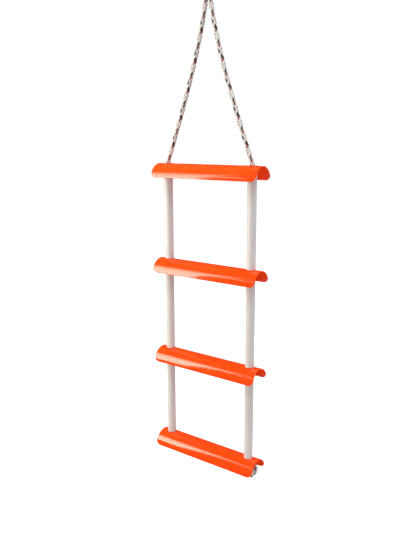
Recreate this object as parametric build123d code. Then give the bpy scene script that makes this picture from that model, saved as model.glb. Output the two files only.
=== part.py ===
from build123d import *
import os
from math import pi, radians, tan

# Escape rope ladder: four half-round plastic steps, spacer tubes and one rope that knots into a hanging loop.
#
# Frame: millimetres, +Z up, X along the steps, -Y towards the climber. The origin is where a hook carries the
# loop, and the ladder hangs below it. "left" is -X. Steps and bays are numbered from the top.

# ---- Driving dimensions (mm) ----
STEP_COUNT = 4
STEP_PITCH = 293.0  # landing to landing
STEP_LENGTH = 368.0
STEP_RADIUS = 41.5  # outside of the half-round section
STEP_WALL = 3.2
CORNER_RADIUS = 16.0  # of the skirt, at the four bottom corners
EDGE_RADIUS = 1.0
ROPE_SPACING = 298.0  # centre to centre of the two rope holes
ROPE_DIAMETER = 12.7
HOLE_DIAMETER = 14.7
PAD_DIAMETER = 30.0  # flat seat round each hole, above and below the crown
PAD_RISE = 0.6
PAD_DEPTH = 7.5  # from the landing down to the lower seat
TUBE_OUTSIDE = 26.7
TUBE_BORE = 20.9
TUBE_CHAMFER = 0.6
TOP_KNOT_RADIUS = 27.0
TOP_KNOT_HEIGHT = 482.0  # knot's centre above the top landing
BALL_HEIGHT = 4.0  # where the bridle ropes bend, above the top landing
STOPPER_WIDTH = 44.0  # along the step
STOPPER_THICKNESS = 31.0
STOPPER_HEIGHT = 35.0
STOPPER_OFFSET = 10.0  # outwards from the hole
STOPPER_ROUNDING = 13.0
TAIL_LENGTH = 26.0
TAIL_LEAN = 12.0  # degrees, outwards
FREE_GAP = 0.3  # between rope faces that turn against each other

# Half of the loop, from inside the knot up: (x, height above the knot's centre), and the radius at each corner.
LOOP_HALF = [(6.6, 12.0), (7.8, 32.0), (20.0, 59.0), (20.0, 96.0)]
LOOP_CROWN_RADIUS = 19.9

# One bridle rope, from the top landing up: (distance from the middle, height above the landing).
BRIDLE_ROUTE = [
    (149.0, 4.0),
    (108.5, 108.0),
    (81.2, 184.0),
    (59.6, 246.0),
    (40.9, 306.0),
    (24.3, 366.0),
    (11.6, 420.0),
    (6.9, 452.0),
    (6.6, 475.0),
]

# ---- Derived places ----
ROPE_RADIUS = ROPE_DIAMETER / 2
LOOP_HEIGHT = LOOP_HALF[-1][1]
TOP_KNOT_Z = ROPE_RADIUS - LOOP_HEIGHT
TOP_LANDING_Z = TOP_KNOT_Z - TOP_KNOT_HEIGHT
TUBE_LENGTH = STEP_PITCH - PAD_DEPTH
SIDES = {"left": -1, "right": 1}
STEP_NUMBERS = range(1, STEP_COUNT + 1)
BAY_NUMBERS = range(1, STEP_COUNT)


def landing_z(number):
    """Height of the flat seats on top of a step."""
    return TOP_LANDING_Z - (number - 1) * STEP_PITCH


def hole_x(side):
    return SIDES[side] * ROPE_SPACING / 2


def save(name, solid):
    """Write one node."""
    solid.label = name
    export_step(solid, f"parts/{name}.step")


def upright(radius, low, high, x=0.0, y=0.0):
    """A cylinder along Z between two heights."""
    return Pos(x, y, (low + high) / 2) * Cylinder(radius, high - low)


def corner_radii(points):
    """Arc radii for the inner points of a route: 0.45 of the shorter run over the tangent of half the turn."""
    radii = []
    for before, here, after in zip(points, points[1:], points[2:]):
        first = Vector(*here) - Vector(*before)
        second = Vector(*after) - Vector(*here)
        half_turn = radians(first.get_angle(second)) / 2
        radii.append(0.45 * min(first.length, second.length) / tan(half_turn))
    return radii


def rope_along(name, points, radii):
    """A round rope along straight runs joined by tangent arcs. Prints its radii and its volume check."""
    path = FilletPolyline(*points, radius=radii)
    start = Plane(origin=path @ 0, z_dir=path % 0)
    tube = sweep(start * Circle(ROPE_RADIUS), path=path)
    expected = pi * ROPE_RADIUS**2 * path.length
    print(name, "length", round(path.length, 1), "radii", [round(r) for r in radii])
    print(name, "volume over section times length", round(tube.volume / expected, 4))
    return tube


# ---- Steps ----
def half_round_shell():
    """The arched channel on its own, with its crown PAD_RISE below the landing."""
    axis_z = -PAD_RISE - STEP_RADIUS
    along_x = Rot(0, 90, 0)
    outside = along_x * Cylinder(STEP_RADIUS, STEP_LENGTH)
    inside = along_x * Cylinder(STEP_RADIUS - STEP_WALL, STEP_LENGTH + 2)
    side_view = Plane.XZ * Pos(0, STEP_RADIUS / 2) * Rectangle(STEP_LENGTH, STEP_RADIUS)
    bottom_corners = side_view.vertices().sort_by(Axis.Z)[:2]
    side_view = fillet(bottom_corners, CORNER_RADIUS)
    silhouette = extrude(side_view, amount=STEP_RADIUS + 1, both=True)
    shell = (outside - inside) & silhouette
    shell = fillet(shell.edges(), EDGE_RADIUS)
    return Pos(0, 0, axis_z) * shell


def ladder_step():
    """One step, with its landing at z = 0: shell, two seats and their rope holes."""
    step = half_round_shell()
    for side in SIDES:
        seat = upright(PAD_DIAMETER / 2, -PAD_DEPTH, 0, hole_x(side))
        rim = seat.edges().filter_by(GeomType.CIRCLE)
        step += fillet(rim, PAD_RISE / 2)
    for side in SIDES:
        step -= upright(HOLE_DIAMETER / 2, -PAD_DEPTH - 1, 1, hole_x(side))
    return step


def make_steps():
    step = ladder_step()
    for number in STEP_NUMBERS:
        save(f"step_{number}", (Pos(0, 0, landing_z(number)) * step).solid())


# ---- Spacer tubes, and the rope inside them and inside the steps ----
def make_bays():
    for bay in BAY_NUMBERS:
        bottom = landing_z(bay + 1)
        top = landing_z(bay) - PAD_DEPTH
        for side in SIDES:
            pipe = upright(TUBE_OUTSIDE / 2, bottom, top) - upright(TUBE_BORE / 2, bottom - 1, top + 1)
            pipe = chamfer(pipe.edges().filter_by(GeomType.CIRCLE), TUBE_CHAMFER)
            save(f"spacer_tube_{side}_{bay}", (Pos(hole_x(side), 0, 0) * pipe).solid())
            save(f"rope_in_tube_{side}_{bay}", upright(ROPE_RADIUS, bottom, top, hole_x(side)))


def make_rope_in_steps():
    """The short lengths in the holes. At the top step each has a dish, in which the bridle rope turns."""
    for number in STEP_NUMBERS:
        top = landing_z(number)
        for side in SIDES:
            piece = upright(ROPE_RADIUS, top - PAD_DEPTH, top, hole_x(side))
            if number == 1:
                piece -= Pos(hole_x(side), 0, top + BALL_HEIGHT) * Sphere(ROPE_RADIUS + FREE_GAP)
            save(f"rope_in_step_{side}_{number}", piece.solid())


# ---- Bridle, top knot and loop ----
def make_bridle():
    """Two ropes from the top step to the knot. Each starts in a rounded end, centred where it bends."""
    knot_space = Pos(0, 0, TOP_KNOT_Z) * Sphere(TOP_KNOT_RADIUS + FREE_GAP)
    for side, sign in SIDES.items():
        points = [(sign * x, 0, TOP_LANDING_Z + height) for x, height in BRIDLE_ROUTE]
        rope = rope_along(f"bridle_rope_{side}", points, corner_radii(points))
        direction = Vector(*points[1]) - Vector(*points[0])
        lower_half = Sphere(ROPE_RADIUS, arc_size1=-90, arc_size2=0)
        rope += Plane(origin=points[0], z_dir=direction) * lower_half
        save(f"bridle_rope_{side}", (rope - knot_space).solid())


def make_top_knot():
    save("top_knot", Pos(0, 0, TOP_KNOT_Z) * Sphere(TOP_KNOT_RADIUS))


def make_loop():
    right = [(x, 0, TOP_KNOT_Z + height) for x, height in LOOP_HALF]
    left = [(-x, y, z) for x, y, z in reversed(right)]
    points = right + left
    radii = corner_radii(points)
    crown = len(right) - 2
    radii[crown] = LOOP_CROWN_RADIUS
    radii[crown + 1] = LOOP_CROWN_RADIUS
    loop = rope_along("hang_loop", points, radii)
    knot_space = Pos(0, 0, TOP_KNOT_Z) * Sphere(TOP_KNOT_RADIUS + FREE_GAP)
    save("hang_loop", (loop - knot_space).solid())


# ---- Stopper knots under the bottom step ----
def make_stopper_knots():
    """A rounded knot drawn up against the lower seat, with its short tail, which leans outwards."""
    seat_z = landing_z(STEP_COUNT) - PAD_DEPTH
    for side, sign in SIDES.items():
        body = extrude(SlotOverall(STOPPER_WIDTH, STOPPER_THICKNESS), amount=-STOPPER_HEIGHT)
        body = Pos(sign * STOPPER_OFFSET, 0, 0) * fillet(body.edges().filter_by(Plane.XY), STOPPER_ROUNDING)
        tail_root = Pos(sign * STOPPER_OFFSET, 0, -STOPPER_HEIGHT + ROPE_DIAMETER)
        tail = tail_root * Rot(0, -sign * TAIL_LEAN, 0) * upright(ROPE_RADIUS, -TAIL_LENGTH, 0)
        save(f"stopper_knot_{side}", (Pos(hole_x(side), 0, seat_z) * (body + tail)).solid())


os.makedirs("parts", exist_ok=True)
make_steps()
make_bays()
make_rope_in_steps()
make_bridle()
make_top_knot()
make_loop()
make_stopper_knots()
print("top landing", TOP_LANDING_Z, "tube length", TUBE_LENGTH)
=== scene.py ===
from math import cos, pi, radians, sin

import bmesh
import bpy
import numpy as np
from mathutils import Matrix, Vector


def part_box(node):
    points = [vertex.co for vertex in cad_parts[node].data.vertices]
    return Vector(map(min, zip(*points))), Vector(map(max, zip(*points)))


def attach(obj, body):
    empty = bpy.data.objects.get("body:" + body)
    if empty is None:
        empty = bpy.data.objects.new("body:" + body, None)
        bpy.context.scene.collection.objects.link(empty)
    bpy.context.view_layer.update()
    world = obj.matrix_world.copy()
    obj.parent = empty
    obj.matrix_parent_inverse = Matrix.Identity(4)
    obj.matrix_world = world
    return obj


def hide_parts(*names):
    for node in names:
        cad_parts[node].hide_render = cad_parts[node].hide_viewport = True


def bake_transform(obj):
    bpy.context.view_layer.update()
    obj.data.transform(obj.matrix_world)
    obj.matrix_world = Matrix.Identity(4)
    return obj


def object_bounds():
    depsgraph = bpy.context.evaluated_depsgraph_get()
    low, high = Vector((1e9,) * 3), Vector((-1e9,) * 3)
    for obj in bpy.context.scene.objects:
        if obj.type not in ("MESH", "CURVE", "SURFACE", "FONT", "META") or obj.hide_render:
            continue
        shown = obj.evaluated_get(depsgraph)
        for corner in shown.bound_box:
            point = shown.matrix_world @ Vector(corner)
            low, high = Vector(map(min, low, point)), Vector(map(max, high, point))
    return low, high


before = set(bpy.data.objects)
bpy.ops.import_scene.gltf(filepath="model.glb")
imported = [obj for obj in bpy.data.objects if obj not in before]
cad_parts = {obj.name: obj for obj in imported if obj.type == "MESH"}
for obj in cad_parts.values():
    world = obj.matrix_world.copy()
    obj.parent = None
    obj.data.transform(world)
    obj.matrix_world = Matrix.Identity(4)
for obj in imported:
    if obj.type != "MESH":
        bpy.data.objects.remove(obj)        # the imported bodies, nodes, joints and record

CAD_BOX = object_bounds()
SIDES = {"left": -1, "right": 1}
STEP_COUNT = 4

# ---- Sizes ----
ROPE_DIAMETER = 0.0127
ROPE_RADIUS = ROPE_DIAMETER / 2
BRAID_PITCH = 0.082  # one turn of a strand round the rope
STRANDS_EACH_WAY = 8
BRAID_TURN = radians(24)  # of the whole pattern, about the rope
STRAND_WIDTH = 0.0043
STRAND_THICKNESS = 0.0023
WEAVE_DEPTH = 0.0009  # how far a strand moves in and out of the braid's middle
WEAVE_RADIUS = ROPE_RADIUS - STRAND_THICKNESS / 2 - WEAVE_DEPTH
WEAVE_START = -0.5  # where in the weave each strand starts, in crossings
WEAVE_SQUARENESS = 0.62  # 0 for a sine wave, near 1 for a strand that steps in and out
FIBRE_SHIFT = 0.31  # of the fibres' pattern, from one strand to the next
CORE_RADIUS = 0.0042
FINE_STEP = 0.0017  # between a strand's rings, along the rope
HIDDEN_STEP = 0.0034  # the same, inside the tubes
FOLD_STEP = 0.0006  # the same, where a fold stretches the rope
JOIN_IN_TUBE = 0.020  # from a tube's end to the seam between two pieces of rope
BALL_HEIGHT = 0.004  # where the bridle ropes bend, above the top landing
MOUTH_LENGTH = 0.013  # of bridle rope that bends with the top step's tilt
MOUTH_STEP = 0.001  # between the points of the line through the mouth of the hole
CORNER_BELOW = 0.003  # where the corner in that line starts, below the top landing
CORNER_ABOVE = 0.007  # where it ends, along the bridle rope
CORNER_POINTS = 16
KNOT_STEP = 0.0014  # between a strand's rings in a knot
KNOT_HALF_HEIGHT = 0.030  # from the top knot's centre to where each rope is straight again
PRESSED = 0.0104  # between the middles of two ropes that a knot presses together

# The stopper knot, from the middle of the lower seat. The tail leans outwards and a little back.
STOPPER_SIZE = 0.0085  # scale of the loose knot before it is pulled tight
STOPPER_PLACE = (-0.004, 0.004, -0.032)  # of the loose knot
STOPPER_SHRINK = 0.60  # length of the tight knot's line over the loose one's
STOPPER_BEADS = 90  # points along that line
STOPPER_NECK = 0.005  # straight rope under the seat
TAIL_TIP = np.array((0.0195, 0.005, -0.0475))
TAIL_LENGTH = 0.012
TAIL_LEAN = radians(20)
TAIL_BACK = 0.12

# The top knot, from its centre. Each rope comes in along a straight leg and goes out along a straight neck.
TOP_SIZE = 0.013
TOP_SHIFT = (0.020, 0, 0)  # from the loose knot's axis to its bulk
TOP_SHRINK = 0.42
TOP_BEADS = 100
TOP_GAP = 0.6 * PRESSED  # from the loose knot's line to each of its two ropes
LEG_X, LEG_LENGTH = 0.0069, 0.012
NECK_X = 0.0078
NECK_BELOW, NECK_ABOVE = 0.010, 0.002  # its reach below and above the knot's half height
TOP_BEND = 0.027  # from the centre to where a rope fully follows its neighbour

# One bridle rope, from the top landing up: (distance from the middle, height above the landing).
BRIDLE_ROUTE = [
    (0.1490, 0.004),
    (0.1085, 0.108),
    (0.0812, 0.184),
    (0.0596, 0.246),
    (0.0409, 0.306),
    (0.0243, 0.366),
    (0.0116, 0.420),
    (0.0069, 0.452),
    (0.0066, 0.475),
]
# Half of the loop, from inside the knot up: (distance from the middle, height above the knot's centre).
LOOP_HALF = [(0.0066, 0.012), (0.0078, 0.032), (0.0200, 0.059), (0.0200, 0.096)]

# ---- Camera and light ----
LENS, SENSOR = 40.35, 36  # millimetres
CAMERA_X, CAMERA_Y = 1.0192, -1.4255
CAMERA_RISE = 0.0721  # above the top landing
CAMERA_TILT, CAMERA_TURN = radians(77.893), radians(35.406)
# Left, right, low and high edge from the top landing, radiance, and the shares of the height at which the
# light starts to dim and is gone.
SOFTBOX_Y = -1.30
SOFTBOX_COLOUR = (1.0, 0.96, 0.79)
SOFTBOXES = [
    ("key_softbox", -1.90, -0.93, -0.60, 1.25, 9.8, 0.40, 1.00),
    ("side_strip", -0.93, -0.70, 0.36, 0.60, 4.0, 0.50, 1.00),
]
# Place from the ladder's middle, width, height and radiance.
WIDE_LIGHTS = [
    ("overhead", (0, -0.3, 3.4), 3.6, 3.6, 4.4),
    ("right_fill", (2.2, 0.5, 0), 1.5, 2.0, 0.9),
]
WORLD_COLOUR = (1, 0.995, 0.985, 1)
WORLD_LIGHT = 0.55  # strength on matt surfaces
WORLD_GLOSS = 0.06  # in the gloss
WORLD_SEEN = 1.05  # as the backdrop
FLOOR_DROP = 0.35  # below the ladder
FLOOR_HALF = 12.0  # half the floor's width
FLOOR_GREY = (0.60, 0.60, 0.60, 1)
FLOOR_GLOW = 0.80  # for the camera only

# ---- Places ----
LANDINGS = {number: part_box(f"step_{number}")[1].z for number in range(1, STEP_COUNT + 1)}
TUBE_TOPS = {bay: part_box(f"spacer_tube_left_{bay}")[1].z for bay in range(1, STEP_COUNT)}
SEAT_DEPTH = LANDINGS[1] - TUBE_TOPS[1]
KNOT = sum(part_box("top_knot"), Vector()) / 2


def hole_x(side):
    low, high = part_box(f"spacer_tube_{side}_1")
    return (low.x + high.x) / 2


# ---- Camera ----
def make_camera():
    """The photograph's view: from the right and a little above the top step, looking down the ladder."""
    data = bpy.data.cameras.new("camera")
    data.lens = LENS
    data.sensor_width = SENSOR
    camera = bpy.data.objects.new("camera", data)
    camera.location = (CAMERA_X, CAMERA_Y, LANDINGS[1] + CAMERA_RISE)
    camera.rotation_euler = (CAMERA_TILT, 0, CAMERA_TURN)
    bpy.context.scene.collection.objects.link(camera)
    bpy.context.scene.camera = camera


# ---- Lines ----
def spline_points(points):
    """Points along the smooth curve that has these control points."""
    curve = bpy.data.curves.new("route", "CURVE")
    curve.dimensions = "3D"
    curve.resolution_u = 24
    spline = curve.splines.new("NURBS")
    spline.points.add(len(points) - 1)
    for knot, point in zip(spline.points, points):
        knot.co = (*point, 1)
    spline.order_u = 3
    spline.use_endpoint_u = True
    carrier = bpy.data.objects.new("route", curve)
    mesh = bpy.data.meshes.new_from_object(carrier)
    found = np.array([v.co for v in mesh.vertices], float)
    bpy.data.objects.remove(carrier)
    bpy.data.curves.remove(curve)
    bpy.data.meshes.remove(mesh)
    return found


def lengths_along(line):
    return np.concatenate([[0], np.cumsum(np.linalg.norm(np.diff(line, axis=0), axis=1))])


def at_lengths(line, wanted):
    along = lengths_along(line)
    return np.stack([np.interp(wanted, along, line[:, k]) for k in range(3)], axis=1)


def spaced(low, high, step):
    return np.linspace(low, high, max(2, round(abs(high - low) / step) + 1))


def unit(v):
    return v / np.maximum(np.linalg.norm(v, axis=-1, keepdims=True), 1e-12)


def frames_along(line):
    """Tangents, and two sideways directions that turn as little as they can from one point to the next."""
    tangents = unit(np.gradient(line, axis=0))
    start = np.cross((0, 1, 0), tangents[0])
    if np.linalg.norm(start) < 0.1:
        start = np.cross((1, 0, 0), tangents[0])
    first = [unit(start)]
    for tangent in tangents[1:]:
        first.append(unit(first[-1] - (first[-1] @ tangent) * tangent))
    first = np.array(first)
    return tangents, first, np.cross(tangents, first)


# ---- Braided rope ----
# Colours of the strands that wind one way, in order round the rope, and of those that wind the other way.
WHITE = (0.75, 0.715, 0.675)
CREAM = (0.65, 0.605, 0.555)
NAVY = (0.016, 0.014, 0.034)
MAROON = (0.27, 0.040, 0.034)
STRANDS = [
    (1, (NAVY, MAROON, WHITE, WHITE, NAVY, MAROON, CREAM, WHITE)),
    (-1, (WHITE, CREAM, WHITE, WHITE, WHITE, NAVY, WHITE, CREAM)),
]
SECTION = np.array([(cos(a), sin(a)) for a in np.linspace(0, 2 * pi, 10, endpoint=False)])


def grid_faces(rows, columns, first):
    """Quads between closed rings of points, and a face on each end."""
    ring = np.arange(columns)
    start = first + np.arange(rows - 1)[:, None] * columns
    corner = start + ring
    beside = start + (ring + 1) % columns
    quads = np.stack([corner, beside, beside + columns, corner + columns], axis=-1).reshape(-1, 4)
    last = first + (rows - 1) * columns
    return quads.tolist() + [(first + ring[::-1]).tolist(), (last + ring).tolist()]


def strand_rings(line, frames, phase, way, number):
    """Rings of points round one strand, which goes over two strands and under two."""
    tangents, first, second = frames
    turn = phase / BRAID_PITCH
    angle = way * 2 * pi * turn + 2 * pi * number / STRANDS_EACH_WAY + BRAID_TURN
    crossing = 2 * STRANDS_EACH_WAY * turn
    wave = np.cos(pi / 2 * (way * crossing + 2 * number + WEAVE_START)) * way
    wave = wave / np.sqrt(WEAVE_SQUARENESS * wave**2 + (1 - WEAVE_SQUARENESS))
    radius = (WEAVE_RADIUS + WEAVE_DEPTH * wave)[:, None]
    out = np.cos(angle)[:, None] * first + np.sin(angle)[:, None] * second
    around = -np.sin(angle)[:, None] * first + np.cos(angle)[:, None] * second
    slope = np.arctan(2 * pi * radius / BRAID_PITCH) * way
    across = np.cos(slope) * around - np.sin(slope) * tangents
    centre = line + radius * out
    wide = SECTION[:, 0] * STRAND_WIDTH / 2
    thick = SECTION[:, 1] * STRAND_THICKNESS / 2
    return centre[:, None] + wide[:, None] * across[:, None] + thick[:, None] * out[:, None]


def braid(name, line, wanted, phase):
    """A rope of sixteen strands round a core, along a line.

    wanted are the lengths along the line at which the strands have their rings, and phase is the place in the
    braid's pattern at the line's start.
    """
    points = at_lengths(line, wanted)
    frames = frames_along(points)
    vertices, faces, colours, along, round_strand = [], [], [], [], []
    turn = np.arange(len(SECTION)) / len(SECTION)
    for way, tints in STRANDS:
        for number, tint in enumerate(tints):
            rings = strand_rings(points, frames, phase + wanted, way, number)
            faces += grid_faces(len(points), len(SECTION), len(vertices) * len(points) * len(SECTION))
            vertices.append(rings.reshape(-1, 3))
            colours.append(np.tile((*tint, 1), (len(points) * len(SECTION), 1)))
            shift = FIBRE_SHIFT * (number + (STRANDS_EACH_WAY - 1) * way)
            along.append(np.repeat(phase + wanted + shift, len(SECTION)))
            round_strand.append(np.tile(turn, len(points)))
    count = sum(len(v) for v in vertices)
    core = points[:, None] + CORE_RADIUS * (
        SECTION[:, :1] * frames[1][:, None] + SECTION[:, 1:] * frames[2][:, None]
    )
    faces += grid_faces(len(points), len(SECTION), count)
    vertices.append(core.reshape(-1, 3))
    colours.append(np.tile((*CREAM, 1), (len(points) * len(SECTION), 1)))
    along.append(np.repeat(wanted, len(SECTION)))
    round_strand.append(np.tile(turn, len(points)))
    mesh = bpy.data.meshes.new(name)
    mesh.from_pydata(np.concatenate(vertices).tolist(), [], faces)
    mesh.polygons.foreach_set("use_smooth", np.ones(len(mesh.polygons), bool))
    tint = mesh.attributes.new("tint", "FLOAT_COLOR", "POINT")
    tint.data.foreach_set("color", np.concatenate(colours).ravel())
    for label, values in (("along", along), ("turn", round_strand)):
        layer = mesh.attributes.new(label, "FLOAT", "POINT")
        layer.data.foreach_set("value", np.concatenate(values))
    piece = bpy.data.objects.new(name, mesh)
    bpy.context.scene.collection.objects.link(piece)
    mesh.materials.append(MATERIALS["rope"])
    return piece


# ---- Materials ----
FIBRES_ROUND = 13  # yarns that show round each strand
ORANGE = ((0.97, 0.060, 0.0028, 1), (0.99, 0.070, 0.0038, 1))
ORANGE_SCUFF = (1.0, 0.35, 0.18, 1)
PIPE = ((0.68, 0.65, 0.64, 1), (0.64, 0.60, 0.59, 1))
PIPE_RUB = (0.50, 0.47, 0.44, 1)


def node(tree, kind, inputs=None, **settings):
    """A shader node with its settings and its inputs, which are values or other nodes' outputs."""
    made = tree.nodes.new(kind)
    for name, value in settings.items():
        setattr(made, name, value)
    for name, value in (inputs or {}).items():
        if isinstance(value, bpy.types.NodeSocket):
            tree.links.new(value, made.inputs[name])
        else:
            made.inputs[name].default_value = value
    return made


def material(name, **constants):
    """A new material with its shader's constants set. Returns it, its node tree and its shader."""
    made = bpy.data.materials.new(name)
    made.use_nodes = True
    shader = made.node_tree.nodes["Principled BSDF"]
    for socket, value in constants.items():
        shader.inputs[socket.replace("_", " ")].default_value = value
    return made, made.node_tree, shader


def ramp(tree, source, low, high, low_value, high_value):
    """source mapped from low..high to low_value..high_value."""
    inputs = {"Value": source, "From Min": low, "From Max": high, "To Min": low_value, "To Max": high_value}
    return node(tree, "ShaderNodeMapRange", inputs).outputs["Result"]


def noise(tree, vector, scale, detail=3.0, roughness=0.5):
    inputs = {"Vector": vector, "Scale": scale, "Detail": detail, "Roughness": roughness}
    return node(tree, "ShaderNodeTexNoise", inputs).outputs["Fac"]


def stretched(tree, scale):
    """Object coordinates, scaled by a different amount on each axis."""
    place = node(tree, "ShaderNodeTexCoord").outputs["Object"]
    return node(tree, "ShaderNodeMapping", {"Vector": place, "Scale": scale}).outputs["Vector"]


def mixed(tree, share, first, second, blend="MIX"):
    made = node(tree, "ShaderNodeMix", data_type="RGBA", blend_type=blend)
    for socket, value in ((made.inputs[0], share), (made.inputs[6], first), (made.inputs[7], second)):
        if isinstance(value, bpy.types.NodeSocket):
            tree.links.new(value, socket)
        else:
            socket.default_value = value
    return made.outputs[2]


def math(tree, operation, first, second=0.0):
    made = node(tree, "ShaderNodeMath", operation=operation)
    for socket, value in zip(made.inputs, (first, second)):
        if isinstance(value, bpy.types.NodeSocket):
            tree.links.new(value, socket)
        else:
            socket.default_value = value
    return made.outputs[0]


def bumped(tree, shader, height, strength, distance):
    inputs = {"Height": height, "Strength": strength, "Distance": distance}
    tree.links.new(node(tree, "ShaderNodeBump", inputs).outputs["Normal"], shader.inputs["Normal"])


def rope_material():
    """Polypropylene strands: fine yarns along each strand, and uneven whiteness that is darker where the
    fibre noise, which also raises the bump, is low.
    """
    gloss = {"Specular_IOR_Level": 0.35, "Sheen_Weight": 0.25, "Sheen_Roughness": 0.5}
    made, tree, shader = material("rope_fibre", **gloss)
    tint = node(tree, "ShaderNodeAttribute", attribute_name="tint").outputs["Color"]
    along = node(tree, "ShaderNodeAttribute", attribute_name="along").outputs["Fac"]
    turn = node(tree, "ShaderNodeAttribute", attribute_name="turn").outputs["Fac"]
    lines = math(tree, "SINE", math(tree, "MULTIPLY", turn, 2 * pi * FIBRES_ROUND))
    lengthwise = math(tree, "MULTIPLY", along, 90.0)
    place = node(tree, "ShaderNodeCombineXYZ", {"X": lengthwise, "Y": lines}).outputs[0]
    fibres = noise(tree, place, 3.0, 4.0, 0.6)
    blotches = noise(tree, stretched(tree, (1, 1, 1)), 160.0, 3.0)
    # the tint is darker where the fibre noise is low, so where the bump is low, with random blotches on top
    shade = ramp(tree, math(tree, "ADD", fibres, blotches), 0.7, 1.3, 0.78, 1.06)
    shaded = node(tree, "ShaderNodeVectorMath", {0: tint}, operation="SCALE")
    tree.links.new(shade, shaded.inputs["Scale"])
    tree.links.new(shaded.outputs[0], shader.inputs["Base Color"])
    tree.links.new(ramp(tree, fibres, 0.3, 0.7, 0.48, 0.68), shader.inputs["Roughness"])
    height = math(tree, "ADD", math(tree, "MULTIPLY", lines, 0.5), fibres)
    bumped(tree, shader, height, 0.55, 0.0004)
    return made


def step_material():
    """Glossy orange plastic, with a moulded face's faint ripple and hairline scuffs along the tread."""
    body = {"IOR": 1.58, "Subsurface_Weight": 0.3, "Subsurface_Scale": 0.005}
    made, tree, shader = material("glossy_orange_plastic", **body)
    shader.inputs["Subsurface Radius"].default_value = (1.0, 0.08, 0.02)
    cloud = noise(tree, stretched(tree, (1, 3, 3)), 14.0, 4.0)
    colour = mixed(tree, ramp(tree, cloud, 0.35, 0.65, 0.0, 1.0), *ORANGE)
    scuff = noise(tree, stretched(tree, (5, 160, 160)), 9.0, 6.0, 0.7)
    mark = ramp(tree, scuff, 0.66, 0.76, 0.0, 1.0)
    colour = mixed(tree, math(tree, "MULTIPLY", mark, 0.10), colour, ORANGE_SCUFF)
    tree.links.new(colour, shader.inputs["Base Color"])
    dull = math(tree, "MULTIPLY", mark, 0.15)
    rough = math(tree, "ADD", ramp(tree, cloud, 0.3, 0.7, 0.06, 0.10), dull)
    tree.links.new(rough, shader.inputs["Roughness"])
    ripple = noise(tree, stretched(tree, (1, 1, 1)), 60.0, 2.0)
    peel = noise(tree, stretched(tree, (1, 1, 1)), 900.0, 2.0)
    height = math(tree, "ADD", ripple, math(tree, "MULTIPLY", peel, 0.08))
    bumped(tree, shader, height, 0.03, 0.0006)
    return made


def tube_material():
    """Satin white pipe with draw lines along it, a little grey rubbing and warm mottling."""
    made, tree, shader = material("satin_white_pipe", IOR=1.5, Subsurface_Weight=0.04, Subsurface_Scale=0.004)
    draw = noise(tree, stretched(tree, (260, 260, 3)), 1.6, 4.0, 0.6)
    cloud = noise(tree, stretched(tree, (1, 1, 0.4)), 38.0, 4.0)
    colour = mixed(tree, ramp(tree, cloud, 0.35, 0.7, 0.0, 1.0), *PIPE)
    patches = noise(tree, stretched(tree, (30, 30, 6)), 7.0, 6.0, 0.7)
    colour = mixed(tree, ramp(tree, patches, 0.64, 0.76, 0.0, 0.22), colour, PIPE_RUB)
    tree.links.new(colour, shader.inputs["Base Color"])
    tree.links.new(ramp(tree, cloud, 0.3, 0.7, 0.30, 0.42), shader.inputs["Roughness"])
    bumped(tree, shader, draw, 0.12, 0.0004)
    return made


MATERIALS = {"rope": rope_material(), "step": step_material(), "tube": tube_material()}


# ---- Rope through the ladder ----
def make_bridle():
    """Each bridle rope, and the short piece at its foot that bends between the hole and the rope.

    Returns each rope's place in the braid's pattern where it meets the top knot.
    """
    phases = {}
    for side, sign in SIDES.items():
        points = [(sign * x, 0, LANDINGS[1] + height) for x, height in BRIDLE_ROUTE]
        route = spline_points(points)
        end = np.interp(KNOT.z - KNOT_HALF_HEIGHT, route[:, 2], lengths_along(route))
        wanted = spaced(MOUTH_LENGTH, end, FINE_STEP)
        rope = braid(f"bridle_rope_{side}_braid", route, wanted, BALL_HEIGHT)
        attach(rope, "bridle")
        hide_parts(f"bridle_rope_{side}")
        make_mouth(side, points[0][0], route)
        phases[side] = BALL_HEIGHT + end
    return phases


def make_mouth(side, x, route):
    """From the middle of the hole up to the bridle rope, with the corner between them rounded."""
    heights = spaced(-SEAT_DEPTH / 2, -CORNER_BELOW, MOUTH_STEP)
    straight = [(x, 0, LANDINGS[1] + z) for z in heights]
    corner = np.array((x, 0, LANDINGS[1] + BALL_HEIGHT))
    share = np.linspace(0, 1, CORNER_POINTS)[1:, None]
    start, end = np.array(straight[-1]), at_lengths(route, [CORNER_ABOVE])[0]
    bend = (1 - share) ** 2 * start + 2 * share * (1 - share) * corner + share**2 * end
    beyond = at_lengths(route, spaced(CORNER_ABOVE + MOUTH_STEP, MOUTH_LENGTH, MOUTH_STEP))
    line = np.concatenate([straight, bend, beyond])
    total = lengths_along(line)[-1]
    phase = MOUTH_LENGTH + BALL_HEIGHT - total
    piece = braid(f"rope_at_top_hole_{side}", line, spaced(0, total, FOLD_STEP * 2), phase)
    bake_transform(piece)
    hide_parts(f"rope_in_step_{side}_1")


def make_bay_rope(side, bay):
    """The rope from the middle of one step's hole to the middle of the next, in three pieces."""
    x = hole_x(side)
    tube_top = TUBE_TOPS[bay]
    tube_foot = LANDINGS[bay + 1]
    rope_body = f"rope_{side}_{bay}"
    heights = {
        "bend_top": (tube_top + SEAT_DEPTH / 2, tube_top - JOIN_IN_TUBE, FOLD_STEP),
        "in_tube": (tube_top - JOIN_IN_TUBE, tube_foot + JOIN_IN_TUBE, HIDDEN_STEP),
        "bend_foot": (tube_foot + JOIN_IN_TUBE, tube_foot - SEAT_DEPTH / 2, FOLD_STEP),
    }
    pieces = {}
    for part, (high, low, step) in heights.items():
        name = f"rope_{part}_{side}_{bay}"
        line = np.array([(x, 0, low), (x, 0, high)])
        pieces[part] = braid(f"{name}_braid", line, spaced(0, high - low, step), low - LANDINGS[1])
    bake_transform(pieces["bend_top"])
    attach(pieces["in_tube"], rope_body)
    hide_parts(f"rope_in_tube_{side}_{bay}")
    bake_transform(pieces["bend_foot"])
    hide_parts(f"rope_in_step_{side}_{bay + 1}")


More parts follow.
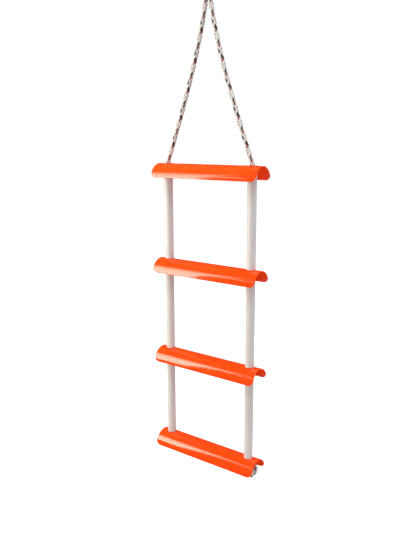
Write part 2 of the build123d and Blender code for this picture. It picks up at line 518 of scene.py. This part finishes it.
def make_loop():
    right = [(x, 0, KNOT.z + height) for x, height in LOOP_HALF]
    left = [(-x, y, z) for x, y, z in reversed(right)]
    line = spline_points(right + left)
    rising = line[: len(line) // 2]
    start = np.interp(KNOT.z + KNOT_HALF_HEIGHT, rising[:, 2], lengths_along(rising))
    loop = braid("hang_loop_braid", line, spaced(start, lengths_along(line)[-1] - start, FINE_STEP), 0.0)
    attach(loop, "hang_loop")
    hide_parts("hang_loop")


# ---- Knots ----
def evened(line, count):
    return at_lengths(line, np.linspace(0, lengths_along(line)[-1], count))


def loose_overhand(size):
    """A wide open overhand knot that runs up the Z axis, with its bulk on the +X side."""
    t = np.linspace(-2.15, 2.15, 120)
    return size * np.stack([4 * t**2 - t**4, (t**5 - 10 * t) / 10, t**3 - 3 * t], axis=1)


def pull_tight(lines, shrink, rounds):
    """Draw knotted lines tight: they shrink to a share of their length, and a few points at each end stay.

    Each round sets the links' lengths, pushes apart stretches of rope that are nearer than PRESSED and evens
    out the bends a little.
    """
    held = 3  # points at each end
    neighbours = 7  # points along one rope that may come nearer than PRESSED
    settling = 0.25  # rounds at the final length, as a share of those in which the lines shrink
    evening = 0.12  # share of the way to the middle of its neighbours that a point moves in a round
    sizes = [len(line) for line in lines]
    points = np.concatenate(lines)
    owner = np.repeat(np.arange(len(lines)), sizes)
    from_end = np.concatenate([np.minimum(np.arange(size), np.arange(size)[::-1]) for size in sizes])
    free = (from_end >= held)[:, None]
    still = points.copy()
    links = np.flatnonzero(owner[1:] == owner[:-1])
    lengths = np.linalg.norm(points[links + 1] - points[links], axis=1)
    inner = free[1:-1] & (owner[2:] == owner[:-2])[:, None]
    one, other = np.triu_indices(len(points), 1)
    apart = (owner[one] != owner[other]) | (other - one > neighbours)
    one, other = one[apart], other[apart]
    for share in np.linspace(0, 1 + settling, rounds):
        wanted = lengths * (1 - (1 - shrink) * min(1, share))
        for parity in (0, 1, 0, 1):
            picked = links % 2 == parity
            a = links[picked]
            span = points[a + 1] - points[a]
            long = np.linalg.norm(span, axis=1)
            move = 0.5 * ((long - wanted[picked]) / long)[:, None] * span
            points[a] += move
            points[a + 1] -= move
            points = np.where(free, points, still)
        span = points[other] - points[one]
        long = np.linalg.norm(span, axis=1)
        near = long < PRESSED
        push = 0.5 * ((PRESSED - long[near]) / long[near])[:, None] * span[near]
        moved = np.zeros_like(points)
        pushes = np.zeros(len(points))
        for ends, way in ((one, -1), (other, 1)):
            np.add.at(moved, ends[near], way * push)
            np.add.at(pushes, ends[near], 1)
        points += moved / np.maximum(pushes, 1)[:, None]
        middles = (points[:-2] + points[2:]) / 2
        points[1:-1] += np.where(inner, evening * (middles - points[1:-1]), 0)
        points = np.where(free, points, still)
    return np.split(points, np.cumsum(sizes)[:-1])


def make_stopper_knots():
    """An overhand knot under each lower seat of the bottom step, and its short tail."""
    lean = np.array((sin(TAIL_LEAN), TAIL_BACK, -cos(TAIL_LEAN)))
    into_hole = np.array([(0, 0, SEAT_DEPTH / 2), (0, 0, -STOPPER_NECK)])
    tail = np.array([TAIL_TIP - TAIL_LENGTH * lean, TAIL_TIP])
    loose = loose_overhand(STOPPER_SIZE)[::-1] + np.array(STOPPER_PLACE)
    beads = evened(np.concatenate([into_hole, loose, tail]), STOPPER_BEADS)
    tight = pull_tight([beads], shrink=STOPPER_SHRINK, rounds=1500)[0]
    for side, sign in SIDES.items():
        place = np.array((hole_x(side), 0, LANDINGS[STEP_COUNT] - SEAT_DEPTH))
        line = spline_points((tight * (sign, 1, 1) + place)[::-1])
        total = lengths_along(line)[-1]
        phase = line[-1][2] - LANDINGS[1] - total + BRAID_PITCH / 2
        knot = braid(f"stopper_knot_{side}_braid", line, spaced(0, total, KNOT_STEP), phase)
        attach(knot, f"step_{STEP_COUNT}")
        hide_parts(f"stopper_knot_{side}")


def keep_half(piece, upper):
    """Cut a piece at the height of the top knot's middle, keep one side and close its cut strands."""
    half = bmesh.new()
    half.from_mesh(piece.data)
    everything = half.verts[:] + half.edges[:] + half.faces[:]
    away = (0, 0, -1 if upper else 1)
    bmesh.ops.bisect_plane(half, geom=everything, plane_co=KNOT, plane_no=away, clear_outer=True)
    rims = [edge for edge in half.edges if edge.is_boundary]
    for edge in rims:
        edge.smooth = False
    bmesh.ops.holes_fill(half, edges=rims)
    half.to_mesh(piece.data)
    half.free()


def make_top_knot(phases):
    """Both ropes tied in one overhand knot, each cut at the knot's middle into a lower and an upper half."""
    half = KNOT_HALF_HEIGHT
    loose = evened(loose_overhand(TOP_SIZE), 2 * TOP_BEADS)
    beside = frames_along(loose)[1]
    lines = []
    for sign in SIDES.values():
        below = np.array([(sign * LEG_X, 0, -half), (sign * LEG_X, 0, -half + LEG_LENGTH)])
        above = np.array([(sign * NECK_X, 0, half - NECK_BELOW), (sign * NECK_X, 0, half + NECK_ABOVE)])
        around = loose + sign * TOP_GAP * beside - np.array(TOP_SHIFT)
        lines.append(evened(np.concatenate([below, around, above]), TOP_BEADS))
    tight = pull_tight(lines, shrink=TOP_SHRINK, rounds=1100)
    for side, points in zip(SIDES, tight):
        line = spline_points(points + np.array(KNOT))
        wanted = spaced(0, lengths_along(line)[-1], KNOT_STEP)
        for part, body, end in (("lower", "bridle", -TOP_BEND), ("upper", "hang_loop", TOP_BEND)):
            piece = braid(f"top_knot_{side}_{part}", line, wanted, phases[side])
            keep_half(piece, part == "upper")
            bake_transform(piece)
            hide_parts("top_knot")


# ---- Solid pieces ----
def dress_cad_nodes():
    """Give the CAD nodes their materials. The steps and tubes keep their CAD shapes; the rope is replaced."""
    for name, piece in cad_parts.items():
        kind = "step" if name.startswith("step_") else "tube" if name.startswith("spacer_tube") else "rope"
        piece.data.materials.clear()
        piece.data.materials.append(MATERIALS[kind])
        piece.data.polygons.foreach_set("use_smooth", np.ones(len(piece.data.polygons), bool))


# ---- Studio ----
def area_light(name, place, aim, width, height, radiance, colour=(1, 1, 1)):
    """A rectangular light of even radiance that the camera doesn't see. Returns the light."""
    data = bpy.data.lights.new(name, "AREA")
    data.shape = "RECTANGLE"
    data.size, data.size_y = width, height
    data.energy = radiance * pi * width * height
    data.color = colour
    light = bpy.data.objects.new(name, data)
    light.location = place
    light.rotation_euler = (aim - place).to_track_quat("-Z", "Y").to_euler()
    light.visible_camera = False
    bpy.context.scene.collection.objects.link(light)
    return light


def fade_upwards(light, full, gone):
    """Dim a light from its full strength to nothing between two shares of its height."""
    light.data.use_nodes = True
    tree = light.data.node_tree
    place = node(tree, "ShaderNodeNewGeometry").outputs["Parametric"]
    height = node(tree, "ShaderNodeSeparateXYZ", {"Vector": place}).outputs["Y"]
    tree.links.new(ramp(tree, height, full, gone, 1.0, 0.0), tree.nodes["Emission"].inputs["Strength"])


def make_floor():
    """White to the camera out to the horizon, and a dimmer grey to the ladder, which hangs well above it."""
    z = CAD_BOX[0].z - FLOOR_DROP
    corners = [(x * FLOOR_HALF, y * FLOOR_HALF, z) for x, y in ((-1, -1), (1, -1), (1, 1), (-1, 1))]
    mesh = bpy.data.meshes.new("floor")
    mesh.from_pydata(corners, [], [(0, 1, 2, 3)])
    floor = bpy.data.objects.new("floor", mesh)
    bpy.context.scene.collection.objects.link(floor)
    paint, tree, shader = material("pale_floor", Roughness=0.9)
    shader.inputs["Base Color"].default_value = FLOOR_GREY
    shader.inputs["Emission Color"].default_value = (1, 1, 0.995, 1)
    seen = node(tree, "ShaderNodeLightPath").outputs["Is Camera Ray"]
    tree.links.new(ramp(tree, seen, 0.0, 1.0, 0.0, FLOOR_GLOW), shader.inputs["Emission Strength"])
    mesh.materials.append(paint)
    floor.visible_glossy = False


def make_world():
    """A white room: the backdrop when seen directly, dim in the gloss, and a soft light on the rest."""
    world = bpy.data.worlds.new("studio")
    world.use_nodes = True
    bpy.context.scene.world = world
    tree = world.node_tree
    tree.nodes.clear()
    path = node(tree, "ShaderNodeLightPath")
    lit = ramp(tree, path.outputs["Is Glossy Ray"], 0.0, 1.0, WORLD_LIGHT, WORLD_GLOSS)
    backdrop = math(tree, "MULTIPLY", path.outputs["Is Camera Ray"], WORLD_SEEN)
    strength = math(tree, "MAXIMUM", lit, backdrop)
    sky = node(tree, "ShaderNodeBackground", {"Color": WORLD_COLOUR, "Strength": strength})
    output = node(tree, "ShaderNodeOutputWorld")
    tree.links.new(sky.outputs[0], output.inputs["Surface"])


def make_studio():
    """A tall softbox to the front left, its narrow neighbour, and two wide lights that show in no gloss."""
    bpy.context.scene.view_settings.view_transform = "Standard"
    make_world()
    make_floor()
    top = LANDINGS[1]
    for name, left, right, low, high, radiance, full, gone in SOFTBOXES:
        place = Vector(((left + right) / 2, SOFTBOX_Y, top + (low + high) / 2))
        ahead = place + Vector((0, 1, 0))
        light = area_light(name, place, ahead, right - left, high - low, radiance, SOFTBOX_COLOUR)
        fade_upwards(light, full, gone)
    middle = Vector((0, 0, (LANDINGS[1] + LANDINGS[STEP_COUNT]) / 2))
    for name, place, width, height, radiance in WIDE_LIGHTS:
        light = area_light(name, middle + Vector(place), middle, width, height, radiance)
        light.visible_glossy = False


make_camera()
make_top_knot(make_bridle())
for bay in range(1, STEP_COUNT):
    for side in SIDES:
        make_bay_rope(side, bay)
make_loop()
make_stopper_knots()
dress_cad_nodes()
make_studio()
